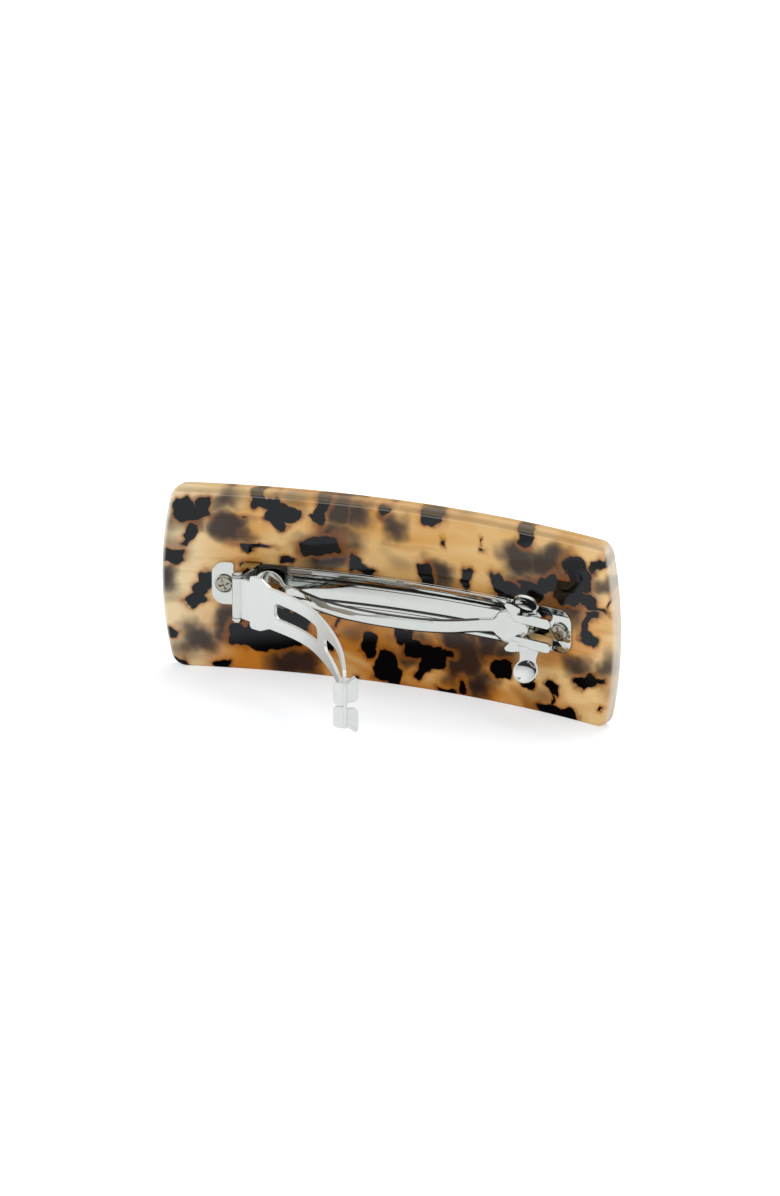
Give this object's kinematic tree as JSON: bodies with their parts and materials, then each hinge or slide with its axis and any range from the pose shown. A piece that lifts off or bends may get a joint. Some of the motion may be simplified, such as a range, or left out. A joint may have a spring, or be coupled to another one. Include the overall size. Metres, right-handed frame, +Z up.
{
  "type": "barrette",
  "caption": "Rectangular bowed hair barrette: a tortoiseshell acetate plate with a sprung steel clip screwed to its hollow side, shown open.",
  "frame": {"origin": "on the lower long edge of the acetate plate, at mid-length and mid-thickness, where it rests on its edge", "axes": "+X along the plate from the hinge end to the catch end; +Z up across the plate's width; the clip is on the -Y side"},
  "size_m": [0.1008, 0.0652, 0.0396],
  "materials": {
    "tortoiseshell_acetate": "polished cellulose acetate, honey with dark brown blotches",
    "bright_steel": "bright nickel-plated stamped steel",
    "spring_steel": "bright nickel-plated spring steel",
    "screw_steel": "nickel-plated screw"
  },
  "bodies": {
    "root": {"acetate_plate": "tortoiseshell_acetate", "base_bar": "bright_steel", "hinge_pin": "bright_steel", "screw_left": "screw_steel", "screw_right": "screw_steel"},
    "arm": {"clasp_arm": "bright_steel"},
    "bar": {"tension_bar": "spring_steel"},
    "upper_catch": {"catch_leg_upper": "spring_steel"},
    "lower_catch": {"catch_leg_lower": "spring_steel"}
  },
  "joints": [
    {"name": "arm_hinge", "type": "hinge", "parent": "root", "child": "arm", "pos_m": [-0.0314, -0.01316, 0.019], "axis": [0, 0, -1], "range_deg": [-47.5, 0]},
    {"name": "bar_flex", "type": "slide", "parent": "root", "child": "bar", "axis": [0, 1, 0], "range_m": [0, 0.0097], "deforming": ["tension_bar"]},
    {"name": "upper_ear_squeeze", "type": "hinge", "parent": "root", "child": "upper_catch", "pos_m": [0.0268, -0.004, 0.02335], "axis": [0, 1, 0], "range_deg": [0, 4], "stiffness_Nm_per_rad": 0.2},
    {"name": "lower_ear_squeeze", "type": "hinge", "parent": "root", "child": "lower_catch", "pos_m": [0.0268, -0.004, 0.01465], "axis": [0, -1, 0], "range_deg": [0, 4], "stiffness_Nm_per_rad": 0.2}
  ],
  "couplings": [
    {"joint": "bar_flex", "follows": "arm_hinge", "m_per_rad": -0.0117}
  ]
}
